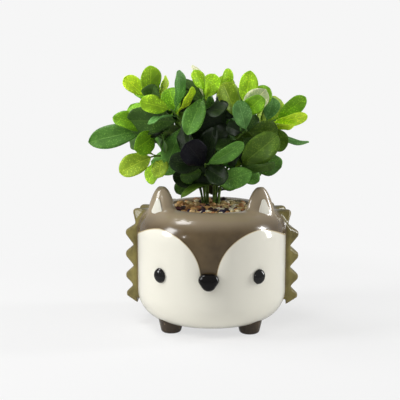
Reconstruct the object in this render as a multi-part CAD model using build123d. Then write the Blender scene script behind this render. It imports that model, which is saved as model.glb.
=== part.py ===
"""Hedgehog planter with an artificial plant.

Millimetres. The face looks along -Y, +Z is up, and the floor under the feet is z = 0.
"""
import math
import os
from itertools import product

from build123d import *

# Pot wall
POT_RADIUS = 55.0
POT_UNDERSIDE = 7.0
POT_RIM = 91.4
POT_WALL = 5.0
BELLY_ROUND = 25.0
SHOULDER_ROUND = 20.0
MOUTH_RADIUS = 31.0
LIP_ROUND = 2.0

# Slip joint between two ceramic pieces, and the thickness of a white glazed panel
BOND = 0.1
GLAZE = 0.6

# Face
LOBE_OUT = 39.2
LOBE_UP = 47.4
LOBE_RADIUS = 33.6
CHEEK_OUT = 33.0
CHEEK_UP = 51.0
CHEEK_RADIUS = 30.0
CHIN_UP = 46.0
NOSE_WIDE = 14.5
NOSE_TALL = 12.7
NOSE_UP = 45.6
NOSE_ROUND = 4.8
NOSE_PROUD = 5.0
EYE_WIDE = 10.4
EYE_TALL = 11.4
EYE_UP = 47.1
EYE_PROUD = 2.2
EYE_TURN = 39.6
EYE_TILT = 9.0

# Ears
EAR_OUT = 36.0
EAR_FORE = 16.0
EAR_TIP = 107.8
EAR_WIDE = 33.5
EAR_DEEP = 19.0
EAR_ROOT = 33.0
EAR_TURN = 30.0
EAR_SHAPE = ((0.0, 1.0), (0.26, 0.86), (0.46, 0.72), (0.68, 0.56), (0.86, 0.4), (1.0, 0.17))
INNER_EAR_WIDE = 11.0
INNER_EAR_TALL = 14.0
INNER_EAR_UP = 88.6

# Feet
FOOT_OUT = 29.0
FOOT_FORE = 25.0
FOOT_TOP = 11.2
FOOT_SOLE = 7.2
FOOT_ROUND = 2.5

# Coat and quills
COAT = 3.6
COAT_FRONT = 4.0
COAT_FOOT = 20.0
COAT_TOP = 87.0
QUILL_GAP = 3.0
QUILL_TALL = 12.6
QUILL_REACH = 7.2
QUILL_TIP = 2.8
QUILL_ROUND = 1.1
QUILL_ROOT = 4.0
QUILL_COLUMNS = 11
QUILL_ROWS = ((82.4, 37.0), (68.8, 5.0), (54.4, 0.0), (39.4, -3.0), (26.0, -14.0))

# Foam, gravel and picks
FOAM_SLACK = 0.6
FOAM_BELOW_RIM = 11.0
FOAM_CHAMFER = 2.0
BED_DEEP = 6.0
PEBBLE_PITCH = 6.2
PEBBLE_RADIUS = 2.9
PEBBLE_TALL = 5.4
PICK_RADIUS = 3.3
PICK_DEEP = 38.0
PICK_APART = 8.2
PICK_SHIFT = -1.2
PICK_BACK = 9.0
PICK_PROUD = 2.7
PICK_SLACK = 0.15

# Stems and leaves
STEM_RADIUS = 0.7
STEM_PITCH = 1.9
STEM_CLEAR = 0.2
LEAF_THICK = 0.5
LEAF_STALK = 3.0
STALK_WIDE = 0.9
LEAF_STEP = 2.4
LEAF_ARCH = 0.09
LEAF_ROOT = (0.15, 0.42)
LEAF_END = (1.0, 0.86)
LEAF_CLEAR = 1.5
LEAF_SEAT = 0.05

# Sprigs: name, pick, hub from the picks' top, then leaves: tip from the hub, width, turn
FRONT_SPRIGS = (
    ("crown_left", 0, (-49, -8, 83), (
        (-14, -4, 15, 11, 20), (5, -6, 23, 16.5, 10), (8, -18, 10, 14, -20), (15, 10, 15, 9, 65),
        (-6, 14, 8, 13, 10))),
    ("upper_left", 0, (-29, -20, 76), (
        (-21, -10, 6, 12, 15), (6, 6, 27, 10, 50), (16, -6, 16, 9, 70), (-14, -14, -9, 9, 75),
        (-2, 14, 13, 13, 10), (-23, 6, -9, 16, 5), (12, -4, -25, 9, 40), (0, 4, -34, 11, 15))),
    ("left", 0, (-49, -10, 59), (
        (-40, -4, -8, 19, 15), (-21, -10, 10, 16.5, 10), (-14, 2, 20, 17.5, 5), (-4, -20, -10, 18, 10),
        (14, 6, 8, 14, 10), (-8, 16, -8, 15, 10))),
    ("lower_left", 0, (-42, -14, 41), (
        (-24, -8, -11, 17.5, 10), (-18, 8, -1, 9, 80), (9, -8, 19, 9, 72), (4, -10, -14, 12, 15),
        (-5, 6, -20, 11, 25), (17, 8, 6, 15, 10))),
    ("crown", 0, (-5, -18, 88), (
        (-7, -2, 16, 9, 25), (-11, -16, -28, 16, 10), (3, -6, 11, 6, 30), (7, 14, 12, 13, 10),
        (-9, 10, 18, 8, 65), (-15, 12, 4, 13, 15), (12, -8, -12, 13, 10))),
    ("crown_right", 1, (5, -8, 81), (
        (8, 2, 19, 16, 10), (7, -9, 21, 8, 70), (-8, -6, -18, 13, 10), (14, 12, 8, 14, 10),
        (6, -2, -24, 13, 15), (-6, 14, -14, 14, 10))),
    ("upper_right", 1, (25, -16, 77), (
        (3, 2, 26, 12, 10), (14, -6, 14, 12, 25), (15, -16, 12, 12, 25), (17, 10, 13, 13, 10),
        (11, 4, 4, 13, 15), (-13, -4, 9, 12, 15))),
    ("right", 1, (47, -4, 67), (
        (21, -4, 17, 11, 20), (24, -2, 5, 9, 40), (13, -10, -3, 6, 60), (-2, 8, 15, 13, 10),
        (24, 6, -17, 9, 70), (4, -6, -15, 11, 25))),
    ("middle_right", 1, (26, -18, 61), (
        (-7, -10, 25, 12, 15), (22, 2, 0, 16, 10), (-14, -8, 4, 12, 10), (10, 6, -18, 15, 10))),
    ("lower_right", 1, (22, -12, 34), (
        (26, -16, 24, 21, 5), (27, -12, 6, 12, 25), (11, -6, -10, 14, 10), (-9, 4, 19, 15, 10),
        (16, 12, -4, 14, 10))),
    ("front", 0, (-4, -18, 36), (
        (27, -16, 17, 10, 25), (-13, -18, 17, 20, 0), (-25, -6, 3, 15, 10), (15, -12, -10, 16, 10),
        (6, -4, 24, 13, 15), (-16, 6, -8, 14, 10))),
    ("front_low", 1, (2, -10, 20), (
        (27, -14, 11, 14, 15), (-23, -14, -7, 9, 65), (-29, -4, 4, 14, 10),
        (14, 4, 10, 14, 10))),
)
REAR_SPRIGS = (
    ("rear_left", 0, (-30, 20, 60)),
    ("rear_low_left", 0, (-19, 22, 32)),
    ("rear_crown", 1, (4, 18, 72)),
    ("rear_right", 1, (30, 19, 48)),
)
REAR_LEAVES = 8
REAR_LEAF = 25.0
REAR_WIDE = 13.6
INNER_LEAVES = 4
INNER_ROOM = 15.0
INNER_LEAF = 23.0
INNER_WIDE = 14.0
WHORL_DROP = 0.25
GOLDEN_TURN = 137.5

# Depth steps and turns that a leaf may take to stay clear of its neighbours
LEAF_ROWS = 11
DEPTH_STEPS = (0, -3, 3, -6, 6, -9, 9, -13, 13, -17, 17)
TURN_STEPS = (0, 14, -14, 28, -28, 45, -45)
STEM_STEPS = (0, -2, 2, -4, 4, -6, 6, -8, 8)
ASIDE_STEPS = (0, -3, 3)

FOAM_FLOOR = POT_UNDERSIDE + POT_WALL
FOAM_TOP = POT_RIM - FOAM_BELOW_RIM
BED_TOP = FOAM_TOP + BED_DEEP
PLUG_RADIUS = MOUTH_RADIUS - FOAM_SLACK
FORK = BED_TOP + PICK_PROUD
MIN_ALIGN = (Align.CENTER, Align.CENTER, Align.MIN)
SIDES = (("left", -1), ("right", 1))


def envelope(grow, sink=0.0):
    """The outside of the pot as a closed solid, grown outward and drawn in at both ends."""
    core = POT_RADIUS - BELLY_ROUND
    neck = POT_RADIUS - SHOULDER_ROUND
    low = POT_UNDERSIDE + BELLY_ROUND + sink
    high = POT_RIM - SHOULDER_ROUND - sink
    belly = BELLY_ROUND + grow
    shoulder = SHOULDER_ROUND + grow
    section = make_face([
        Line((0, low - belly), (core, low - belly)),
        CenterArc((core, low), belly, -90, 90),
        Line((POT_RADIUS + grow, low), (POT_RADIUS + grow, high)),
        CenterArc((neck, high), shoulder, 0, 90),
        Line((neck, high + shoulder), (0, high + shoulder)),
        Line((0, high + shoulder), (0, low - belly)),
    ])
    return revolve(Plane.XZ * section, Axis.Z)


def coat_radius(height):
    """Radius of the coat's outside at a height."""
    low = POT_UNDERSIDE + BELLY_ROUND + COAT
    high = POT_RIM - SHOULDER_ROUND - COAT
    if height < low:
        return POT_RADIUS - BELLY_ROUND + math.sqrt((BELLY_ROUND + COAT) ** 2 - (low - height) ** 2)
    if height > high:
        return POT_RADIUS - SHOULDER_ROUND + math.sqrt((SHOULDER_ROUND + COAT) ** 2 - (height - high) ** 2)
    return POT_RADIUS + COAT


def pot_body():
    """Turned wall, floor and rounded lip."""
    mouth = Pos(0, 0, FOAM_TOP) * Cylinder(MOUTH_RADIUS, POT_RIM, align=MIN_ALIGN)
    body = envelope(0) - envelope(-POT_WALL) - mouth
    lip = body.edges().filter_by(GeomType.CIRCLE).group_by(Axis.Z)[-1].sort_by(SortBy.RADIUS)[0]
    return fillet(lip, LIP_ROUND)


def face_panel():
    """White glaze over the cheeks and the belly, with a brown wedge left between the lobes."""
    outline = Pos(0, CHIN_UP / 2) * Rectangle(4 * POT_RADIUS, CHIN_UP)
    for _, side in SIDES:
        lobe = Pos(side * LOBE_OUT, LOBE_UP) * Circle(LOBE_RADIUS)
        outline += lobe & Pos(side * CHEEK_OUT, CHEEK_UP) * Circle(CHEEK_RADIUS)
    front = Plane((0, -COAT_FRONT - BOND, 0), x_dir=(1, 0, 0), z_dir=(0, -1, 0))
    prism = extrude(front * outline, 2 * POT_RADIUS)
    under = Cylinder(POT_RADIUS - BELLY_ROUND, POT_RIM, align=MIN_ALIGN)
    return (envelope(BOND + GLAZE) - envelope(BOND) - under) & prism


def nose():
    """Rounded triangle with its point down."""
    half = NOSE_WIDE / 2
    drop = NOSE_TALL / 2
    corner = half + 0.7 * NOSE_ROUND
    corners = [(-corner, drop), (corner, drop), (0, -drop - 1.05 * NOSE_ROUND)]
    outline = make_face(Polyline(*corners, close=True))
    outline = fillet(outline.vertices(), NOSE_ROUND)
    root = Plane((0, -POT_RADIUS + NOSE_PROUD, NOSE_UP), x_dir=(1, 0, 0), z_dir=(0, -1, 0))
    blank = extrude(root * outline, 2 * NOSE_PROUD)
    blank = fillet(blank.faces().sort_by(Axis.Y)[0].edges(), NOSE_PROUD * 0.55)
    return blank - envelope(GLAZE + 2 * BOND)


def eye(side):
    """Oval dome set on the cheek."""
    turn = math.radians(EYE_TURN)
    out = (side * math.sin(turn), -math.cos(turn), 0)
    seat = Plane(
        (POT_RADIUS * out[0], POT_RADIUS * out[1], EYE_UP), x_dir=(math.cos(turn), side * math.sin(turn), 0),
        z_dir=out)
    outline = seat.offset(-EYE_PROUD) * Rot(0, 0, -side * EYE_TILT) * Ellipse(EYE_WIDE / 2, EYE_TALL / 2)
    blank = extrude(outline, GLAZE + 2 * EYE_PROUD)
    top = blank.faces().filter_by(GeomType.PLANE).sort_by(Axis(seat.origin, seat.z_dir))[-1]
    return fillet(top.edges(), EYE_PROUD * 0.9) - envelope(GLAZE + 2 * BOND)


def ear_place(side):
    """Place of an ear's own upright axis, turned outward."""
    return Pos(side * EAR_OUT, -EAR_FORE, 0) * Rot(0, 0, side * EAR_TURN)


def ear_blank(grow):
    """Flared ear before it is cut to the shoulder, grown outward."""
    sections = []
    for rise, share in EAR_SHAPE:
        height = EAR_TIP - EAR_ROOT * (1 - rise) + grow * rise
        sections.append(Pos(0, 0, height) * Ellipse(EAR_WIDE / 2 * share + grow, EAR_DEEP / 2 * share + grow))
    return loft(sections)


def ear(side):
    """Ear cut to the shoulder."""
    return ear_place(side) * ear_blank(0) - envelope(BOND)


def inner_ear(side):
    """White triangle on the front of an ear."""
    half = INNER_EAR_WIDE / 2
    corners = [(-half, INNER_EAR_UP), (half, INNER_EAR_UP), (0, INNER_EAR_UP + INNER_EAR_TALL)]
    outline = make_face(Polyline(*corners, close=True))
    outline = fillet(outline.vertices(), INNER_EAR_WIDE * 0.15)
    prism = extrude(Plane.XZ * outline, EAR_DEEP)
    skin = (ear_blank(BOND + GLAZE) - ear_blank(BOND)) & prism
    return ear_place(side) * skin - envelope(BOND)


def foot(side, end):
    """Short tapered foot cut to the belly; end is -1 at the front."""
    blank = Cone(FOOT_SOLE, FOOT_TOP, POT_UNDERSIDE + FOOT_TOP, align=MIN_ALIGN)
    blank = fillet(blank.edges().sort_by(Axis.Z)[0], FOOT_ROUND)
    skin = GLAZE + BOND if end < 0 else 0
    return Pos(side * FOOT_OUT, end * FOOT_FORE, 0) * blank - envelope(skin + BOND)


def back_coat():
    """Raised coat behind the face."""
    reach = 2 * POT_RADIUS
    block = Pos(0, -COAT_FRONT, COAT_FOOT) * Box(
        2 * reach, reach, COAT_TOP - COAT_FOOT, align=(Align.CENTER, Align.MIN, Align.MIN))
    return (envelope(COAT, COAT) - envelope(BOND)) & block


def quill_step():
    """Angle from one column of quills to the next: the coat's span in equal cells."""
    return (180 + 2 * math.degrees(COAT_FRONT / POT_RADIUS)) / QUILL_COLUMNS


def quill(height, lean):
    """One rounded pyramid at the middle of the back, leaning up from level by an angle."""
    angle = math.radians(lean)
    foot = (0, coat_radius(height), height)
    seat = Plane(foot, x_dir=(1, 0, 0), z_dir=(0, math.cos(angle), math.sin(angle)))
    half = QUILL_TALL / 2 * math.cos(angle)
    narrow = min(coat_radius(height - half), coat_radius(height + half))
    across = 2 * narrow * math.tan(math.radians(quill_step() / 2)) - QUILL_GAP
    spread = 1 + QUILL_ROOT / QUILL_REACH
    wide = QUILL_TIP + (across - QUILL_TIP) * spread
    tall = QUILL_TIP + (QUILL_TALL - QUILL_TIP) * spread
    base = seat.offset(-QUILL_ROOT) * Rectangle(wide, tall)
    tip = seat.offset(QUILL_REACH) * Rectangle(QUILL_TIP, QUILL_TIP)
    blank = loft([base, tip], ruled=True)
    floor = blank.faces().sort_by(Axis(seat.origin, seat.z_dir))[0].edges()
    edges = [edge for edge in blank.edges() if edge not in floor]
    return fillet(edges, QUILL_ROUND) - envelope(COAT + BOND, COAT)


def quill_row(height, lean):
    """One row of quills from side to side round the back."""
    one = quill(height, lean)
    middle = (QUILL_COLUMNS - 1) / 2
    return [Rot(0, 0, quill_step() * (column - middle)) * one for column in range(QUILL_COLUMNS)]


def pick_place(pick):
    """Middle of a pick: 0 on the left, 1 on the right."""
    return PICK_SHIFT + (pick - 0.5) * PICK_APART


def pick_part(pick, grow=0.0):
    """Moulded pick that gathers the stems and stands in the foam."""
    rod = Cylinder(PICK_RADIUS + grow, FORK - FOAM_TOP + PICK_DEEP, align=MIN_ALIGN)
    return Pos(pick_place(pick), PICK_BACK, FOAM_TOP - PICK_DEEP) * rod


def plug(low, high):
    """Round layer that fills the mouth, bored for the picks."""
    layer = Pos(0, 0, low) * Cylinder(PLUG_RADIUS, high - low, align=MIN_ALIGN)
    for pick in (0, 1):
        layer -= pick_part(pick, PICK_SLACK)
    return layer


def foam_plug():
    """Foam cylinder with its lower edge cut back from the rounded floor of the bowl."""
    foam = plug(FOAM_FLOOR, FOAM_TOP)
    cut = FOAM_CHAMFER + max(0.0, PLUG_RADIUS - (POT_RADIUS - BELLY_ROUND))
    rim = foam.faces().sort_by(Axis.Z)[0].outer_wire().edges()
    return chamfer(rim, cut)


def pebble(index):
    """One faceted stone, its size and shape varied by its index."""
    size = PEBBLE_RADIUS * (0.88 + 0.12 * math.sin(index * 2.3))
    tall = PEBBLE_TALL * (0.8 + 0.2 * math.sin(index * 1.7))
    corners = []
    for corner in range(6):
        turn = math.radians(60 * corner + 9 * math.sin(index + 3 * corner))
        reach = size * (0.9 + 0.1 * math.sin(index * 1.9 + corner * 2.7))
        corners.append((reach * math.cos(turn), reach * math.sin(turn)))
    outline = make_face(Polyline(*corners, close=True))
    levels = ((0.0, 0.8), (0.45, 1.0), (1.0, 0.55))
    return loft([Pos(0, 0, tall * rise) * scale(outline, share) for rise, share in levels], ruled=True)


def pebbles():
    """Stones over the bed in three colours, spiralling out from the middle."""
    groups = {"tan_pebbles": [], "cream_pebbles": [], "dark_pebbles": []}
    names = ("tan_pebbles", "dark_pebbles", "tan_pebbles", "cream_pebbles", "tan_pebbles", "dark_pebbles")
    count = int((PLUG_RADIUS / PEBBLE_PITCH) ** 2 * math.pi)
    for index in range(count):
        reach = PEBBLE_PITCH * math.sqrt((index + 0.5) / math.pi)
        turn = math.radians(GOLDEN_TURN * index)
        spot = (reach * math.cos(turn), reach * math.sin(turn))
        if reach + PEBBLE_RADIUS > PLUG_RADIUS:
            continue
        if any(math.dist(spot, (pick_place(pick), PICK_BACK)) < PICK_RADIUS + PEBBLE_RADIUS + PICK_SLACK
               for pick in (0, 1)):
            continue
        groups[names[index % len(names)]].append(Pos(spot[0], spot[1], BED_TOP) * pebble(index))
    return groups


def whorl(hub, count, length, width):
    """Open whorl of leaves that starts along its stem and turns to the rear."""
    bearing = math.degrees(math.atan2(hub[1], hub[0]))
    rows = []
    for leaf in range(count):
        turn = math.radians(bearing + GOLDEN_TURN * leaf)
        rise = math.radians(50 - 112 * leaf / count)
        flat = length * math.cos(rise)
        up = max(length * math.sin(rise), -WHORL_DROP * hub[2])
        rows.append((flat * math.cos(turn), flat * (0.25 + 0.75 * math.sin(turn)), up, width, 20))
    return rows


def stem_path(start, hub):
    """Arc that leaves the pick upright and ends at the hub."""
    return TangentArc(start, hub, tangent=(0, 0, 1))


def path_points(path):
    """Points along a stem, about a stem's radius apart."""
    count = int(path.length / STEM_RADIUS)
    return [tuple(path @ (step / count)) for step in range(count + 1)]


def pick_stems(own, pick, others):
    """Least room, paths and points of one pick's stems, each placed in the first slot that is clear."""
    limit = 2 * STEM_RADIUS + STEM_CLEAR
    middle = pick_place(pick)
    around = len(own) - 1
    ring = STEM_PITCH / 2 / math.sin(math.pi / around)
    turns = [2 * math.pi * number / around for number in range(around)]
    slots = [(ring * math.cos(turn), ring * math.sin(turn)) for turn in turns] + [(0.0, 0.0)]
    least, paths, taken = limit, {}, []
    for name, _, hub, _ in own:
        slots.sort(key=lambda slot: math.dist(slot, (hub[0] - middle, hub[1] - PICK_BACK)))
        best = (-1.0, None, None, None)
        for aside, depth, slot in product(ASIDE_STEPS, STEM_STEPS, slots):
            start = Vector(middle + slot[0], PICK_BACK + slot[1], FORK)
            path = stem_path(start, Vector(hub[0] + aside, hub[1] + depth, FORK + hub[2]))
            points = path_points(path)
            room = min([nearest(points, stem, 2 * limit) for stem in others + taken], default=limit)
            if room > best[0]:
                best = (room, path, slot, points)
            if room >= limit:
                break
        paths[name] = best[1]
        slots.remove(best[2])
        taken.append(best[3])
        least = min(least, best[0])
    return least, paths, taken


def stem_paths(sprigs):
    """A path for every stem, from the order of placing that leaves the most room on each pick."""
    paths, taken = {}, []
    for pick in (0, 1):
        own = [sprig for sprig in sprigs if sprig[1] == pick]
        by_height = sorted(own, key=lambda sprig: sprig[2][2])
        foot = (pick_place(pick), PICK_BACK)
        by_lean = sorted(own, key=lambda sprig: math.dist(sprig[2][:2], foot) / sprig[2][2])
        best = (-1.0, None, None)
        for order in (by_height, by_lean[::-1], by_height[::-1], by_lean):
            tried = pick_stems(order, pick, taken)
            if tried[0] > best[0]:
                best = tried
            if best[0] >= 2 * STEM_RADIUS + STEM_CLEAR:
                break
        paths.update(best[1])
        taken += best[2]
    return paths


def stem_part(path, grow=0.0):
    """Round wired stem."""
    return sweep(Plane(path @ 0, z_dir=path % 0) * Circle(STEM_RADIUS + grow), path)


def leaf_frame(base, tip, turn):
    """Plane at a leaf's base: x runs to the tip, z is the face, turned from the viewer."""
    along = (tip - base).normalized()
    facing = Vector(0, -1, 0.2)
    if abs(along.dot(facing.normalized())) > 0.95:
        facing = Vector(0, 0, 1)
    across = facing.cross(along).normalized()
    face = along.cross(across).rotate(Axis((0, 0, 0), along), turn)
    return Plane(base, x_dir=along, z_dir=face)


def arch_radius(length):
    """Radius of a leaf's lengthwise arch."""
    rise = LEAF_ARCH * length
    return (length * length / 4 + rise * rise) / (2 * rise)


def leaf_edge(t):
    """Shares of a blade's length and width at its edge, as t goes from root to tip."""
    root = 3 * (1 - t) ** 2 * t
    end = 3 * (1 - t) * t ** 2
    return root * LEAF_ROOT[0] + end * LEAF_END[0] + t ** 3, root * LEAF_ROOT[1] + end * LEAF_END[1]


def leaf_points(frame, length, width):
    """Points spread over a leaf's blade, used to keep leaves apart."""
    radius = arch_radius(length)
    drop = radius - LEAF_ARCH * length
    points = []
    for step in range(LEAF_ROWS):
        share, spread = leaf_edge(step / (LEAF_ROWS - 1))
        along = LEAF_STALK + (length - LEAF_STALK) * share
        rise = math.sqrt(radius ** 2 - (along - length / 2) ** 2) - drop
        half = width * spread + STALK_WIDE / 2
        for side in (-1, -0.67, -0.33, 0, 0.33, 0.67, 1):
            points.append(tuple(frame.from_local_coords(Vector(along, side * half, rise))))
    return points


def span(points):
    """Low and high corner of the box round some points."""
    return tuple(map(min, zip(*points))), tuple(map(max, zip(*points)))


def nearest(points, others, limit):
    """Least distance between two sets of points, found only as far as the limit."""
    low, high = span(points)
    far_low, far_high = span(others)
    if any(low[axis] > far_high[axis] + limit or far_low[axis] > high[axis] + limit for axis in range(3)):
        return limit
    close = [spot for spot in others
             if all(low[axis] - limit < spot[axis] < high[axis] + limit for axis in range(3))]
    best = limit
    for x, y, z in points:
        for a, b, c in close:
            if abs(x - a) < best and abs(y - b) < best and abs(z - c) < best:
                best = min(best, math.dist((x, y, z), (a, b, c)))
    return best


def leaf_part(frame, length, width, stem):
    """Arched blade with a round end on a narrow stalk, seated on its stem."""
    radius = arch_radius(length)
    middle = (length / 2, LEAF_ARCH * length - radius)
    blade = length - LEAF_STALK
    low = (LEAF_STALK, 0)
    tip = (length, 0)
    root = (LEAF_STALK + LEAF_ROOT[0] * blade, LEAF_ROOT[1] * width)
    end = (LEAF_STALK + LEAF_END[0] * blade, LEAF_END[1] * width)
    outline = make_face([
        Bezier(low, root, end, tip),
        Bezier(tip, (end[0], -end[1]), (root[0], -root[1]), low),
    ])
    outline += Pos(LEAF_STALK / 2 + STALK_WIDE / 2, 0) * Rectangle(LEAF_STALK + STALK_WIDE, STALK_WIDE)
    ring = Pos(*middle) * (Circle(radius + LEAF_THICK / 2) - Circle(radius - LEAF_THICK / 2))
    slab = extrude(Plane.XZ * ring, width, both=True)
    prism = extrude(outline, 2 * LEAF_ARCH * length, both=True)
    return frame.location * (prism & slab) - stem


def leaf_places(sprigs, paths):
    """Frames and sizes of the leaves, turned or shifted until clear; a whorl leaves out one that can't be."""
    taken = {name: path_points(path) for name, path in paths.items()}
    places = []
    seen = {sprig[0]: len(sprig[3]) for sprig in FRONT_SPRIGS}
    for name, _, _, leaves in sprigs:
        path = paths[name]
        for number, (right, back, up, width, turn) in enumerate(leaves):
            base = path @ (1 - LEAF_STEP * (number + 0.4) / path.length)
            nudges = sorted(((abs(depth) / 3 + abs(extra) / 14, depth, extra)
                             for depth in DEPTH_STEPS for extra in TURN_STEPS))
            aim = (path @ 1 if number < seen.get(name, 0) else base) + Vector(right, back, up)
            length = (aim - base).length
            best = (-1.0, None, None)
            for _, depth, extra in nudges:
                frame = leaf_frame(base, aim + Vector(0, depth, 0), turn + extra)
                points = leaf_points(frame, length, width)
                others = [spots for key, spots in taken.items() if key != name]
                room = min(nearest(points, spots, 2 * LEAF_CLEAR) for spots in others)
                room = min(room, nearest(points[len(points) // LEAF_ROWS:], taken[name], 2 * LEAF_CLEAR))
                room = min(room, min(height for _, _, height in points) - BED_TOP - PEBBLE_TALL)
                if room > best[0]:
                    best = (room, (frame, length, width), points)
                if room >= 1.3 * LEAF_CLEAR:
                    break
            if number >= seen.get(name, 0) and best[0] < LEAF_CLEAR:
                continue
            places.append((name, *best[1]))
            taken[f"{name} {number}"] = best[2]
    return places


def sprig_parts():
    """Stems and leaves of the plant."""
    sprigs = []
    for name, pick, hub, leaves in FRONT_SPRIGS:
        inner = whorl(hub, min(INNER_LEAVES, int(hub[2] / INNER_ROOM)), INNER_LEAF, INNER_WIDE)
        sprigs.append((name, pick, hub, list(leaves) + inner))
    for name, pick, hub in REAR_SPRIGS:
        sprigs.append((name, pick, hub, whorl(hub, REAR_LEAVES, REAR_LEAF, REAR_WIDE)))
    paths = stem_paths(sprigs)
    seats = {name: stem_part(path, LEAF_SEAT) for name, path in paths.items()}
    parts = {}
    for name, path in paths.items():
        parts[f"{name}_stem"] = stem_part(path)
        parts[f"{name}_leaves"] = []
    for name, frame, length, width in leaf_places(sprigs, paths):
        parts[f"{name}_leaves"].append(leaf_part(frame, length, width, seats[name]))
    return parts


def all_parts():
    """Every piece by name."""
    parts = {"pot_body": pot_body(), "face_panel": face_panel(), "nose": nose(), "back_coat": back_coat()}
    for name, side in SIDES:
        parts[f"{name}_eye"] = eye(side)
        parts[f"{name}_ear"] = ear(side)
        parts[f"{name}_inner_ear"] = inner_ear(side)
        parts[f"front_{name}_foot"] = foot(side, -1)
        parts[f"rear_{name}_foot"] = foot(side, 1)
    for number, (height, lean) in enumerate(QUILL_ROWS, 1):
        parts[f"quill_row_{number}"] = quill_row(height, lean)
    parts["foam_plug"] = foam_plug()
    parts["gravel_bed"] = plug(FOAM_TOP, BED_TOP)
    parts["left_pick"] = pick_part(0)
    parts["right_pick"] = pick_part(1)
    parts.update(pebbles())
    parts.update(sprig_parts())
    return parts


os.makedirs("parts", exist_ok=True)
for part_name, shape in all_parts().items():
    solids = shape if isinstance(shape, list) else [shape]
    solids = [solid for item in solids for solid in item.solids()]
    export_step(solids[0] if len(solids) == 1 else Compound(children=solids), f"parts/{part_name}.step")
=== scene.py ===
"""Hedgehog planter with an artificial plant, dressed over its CAD frame."""

import logging
import math
import random
from dataclasses import dataclass, field
from enum import Enum
from typing import Any, Callable, Iterable

import bmesh
import bpy
import numpy as np
from bpy.types import Material, Node, NodeSocket, NodeTree, Object
from mathutils import Matrix, Vector, noise


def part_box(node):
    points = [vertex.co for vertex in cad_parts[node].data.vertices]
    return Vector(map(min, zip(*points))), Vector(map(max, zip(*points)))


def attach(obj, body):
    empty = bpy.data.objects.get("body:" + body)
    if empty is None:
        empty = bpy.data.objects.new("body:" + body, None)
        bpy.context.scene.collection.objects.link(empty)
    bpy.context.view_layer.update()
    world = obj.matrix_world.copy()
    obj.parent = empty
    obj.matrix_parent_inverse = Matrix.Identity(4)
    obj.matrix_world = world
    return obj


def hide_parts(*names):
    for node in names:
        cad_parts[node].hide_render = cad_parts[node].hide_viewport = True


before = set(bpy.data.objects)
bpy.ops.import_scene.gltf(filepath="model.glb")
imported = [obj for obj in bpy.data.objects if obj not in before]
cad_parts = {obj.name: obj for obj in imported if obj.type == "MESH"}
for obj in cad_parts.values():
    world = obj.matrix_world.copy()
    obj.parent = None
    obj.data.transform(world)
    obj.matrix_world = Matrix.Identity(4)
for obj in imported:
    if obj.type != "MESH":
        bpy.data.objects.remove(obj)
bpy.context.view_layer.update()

LOG = logging.getLogger("planter")
MM = 0.001
# Distance under which points of a CAD mesh are one.
WELD = 0.002 * MM
# Ends and middle of a CAD leaf, by which its frame is read.
END_SHARE = 0.12
END_MM = 0.3
MIDDLE_SHARE = 0.15
# Turn from one chip to the next that spreads them evenly.
GOLDEN_ANGLE = 2.39996
# What the meshes store for the materials.
COAT = "coat"
TINT = "tint"

Colour = tuple[float, float, float, float]
Triple = tuple[float, float, float]
Span = tuple[float, float]


def linear(code: str) -> Colour:
    """Turns an sRGB hex value into a linear colour.

    Args:
        code: six hex digits.

    Returns:
        Red, green, blue and alpha, linear.
    """
    parts = [int(code[i:i + 2], 16) / 255 for i in (0, 2, 4)]
    flat = [c / 12.92 if c <= 0.04045 else ((c + 0.055) / 1.055) ** 2.4 for c in parts]
    return (flat[0], flat[1], flat[2], 1.0)


@dataclass(frozen=True)
class NodeDesk:
    """Adds the nodes of one tree and wires them.

    Attributes:
        tree: the tree.
    """

    tree: NodeTree

    def feed(self, node: Node, links: dict[Any, Any]) -> None:
        """Gives a node's inputs their values or their links.

        Args:
            node: the node.
            links: input name or number to a value or to the output that feeds it.
        """
        for key, value in links.items():
            if isinstance(value, NodeSocket):
                self.tree.links.new(value, node.inputs[key])
            else:
                node.inputs[key].default_value = value

    def add(self, kind: str, links: dict[Any, Any] | None = None, **settings: Any) -> Node:
        """Adds a node.

        Args:
            kind: node type.
            links: what its inputs get.
            settings: its properties.

        Returns:
            The new node.
        """
        node = self.tree.nodes.new(kind)
        for key, value in settings.items():
            setattr(node, key, value)
        self.feed(node, links or {})
        return node

    def compute(self, operation: str, *values: Any) -> NodeSocket:
        """Result of a sum over numbers and outputs."""
        return self.add("ShaderNodeMath", dict(enumerate(values)), operation=operation).outputs[0]

    def remap(self, value: NodeSocket, old: Span = (0.0, 1.0), new: Span = (0.0, 1.0),
              kind: str = "LINEAR") -> NodeSocket:
        """A value carried from one range to another."""
        return self.add("ShaderNodeMapRange", {
            "Value": value, "From Min": old[0], "From Max": old[1], "To Min": new[0], "To Max": new[1]},
            interpolation_type=kind).outputs["Result"]

    def blend(self, share: NodeSocket, first: Any, second: Any) -> NodeSocket:
        """Two colours, mixed by the share of the second."""
        return self.add("ShaderNodeMix", {"Factor": share, "A": first, "B": second},
                        data_type="RGBA").outputs["Result"]

    def mark(self, name: str) -> Any:
        """Outputs of what the mesh stores under a name."""
        return self.add("ShaderNodeAttribute", attribute_name=name).outputs

    def place(self) -> NodeSocket:
        """The point of the object, in metres."""
        return self.add("ShaderNodeTexCoord").outputs["Object"]

    def mottle(self, size_mm: float, detail: float, roughness: float = 0.5) -> NodeSocket:
        """Cloudy noise of a real size, 0 to 1."""
        return self.add("ShaderNodeTexNoise", {
            "Vector": self.place(), "Scale": 1 / (size_mm * MM), "Detail": detail,
            "Roughness": roughness}).outputs["Fac"]

    def bump(self, height: NodeSocket, strength: float, depth_mm: float, invert: bool = False) -> NodeSocket:
        """Normal of fine relief, from its height of 0 to 1."""
        return self.add("ShaderNodeBump", {"Height": height, "Strength": strength, "Distance": depth_mm * MM},
                        invert=invert).outputs["Normal"]


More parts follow.
